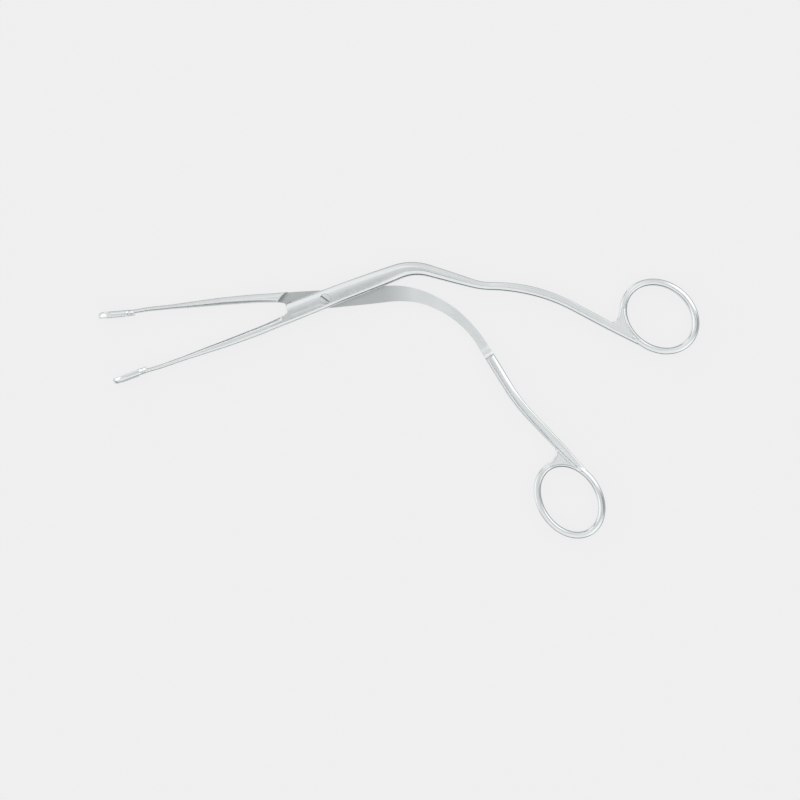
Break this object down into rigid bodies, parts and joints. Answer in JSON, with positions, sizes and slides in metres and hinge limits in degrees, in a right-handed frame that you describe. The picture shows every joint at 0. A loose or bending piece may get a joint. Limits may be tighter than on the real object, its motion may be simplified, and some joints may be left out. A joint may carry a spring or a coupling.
{
  "type": "magill forceps",
  "caption": "Angled steel forceps with slim jaws, oval windowed grips, a lap joint on a slotted screw, and bent handles that end in oval finger rings.",
  "frame": {"origin": "on the pivot axis, at the underside of the joint", "axes": "+Z along the pivot axis, away from the surface the forceps lie on; +X towards the finger rings, along the length; +Y across, towards the side on which the front half's handle bows out"},
  "size_m": [0.2549, 0.1173, 0.007],
  "materials": {
    "front_steel": "satin",
    "rear_steel": "satin",
    "screw_steel": "satin"
  },
  "bodies": {
    "front_branch": {"front_half": "front_steel"},
    "rear_branch": {"rear_half": "rear_steel", "pivot_screw": "screw_steel"}
  },
  "joints": [
    {"name": "lap_pivot", "type": "hinge", "parent": "front_branch", "child": "rear_branch", "pos_m": [0, 0, 0.0035], "axis": [0, 0, -1], "range_deg": [-15.6, 29.4]}
  ]
}
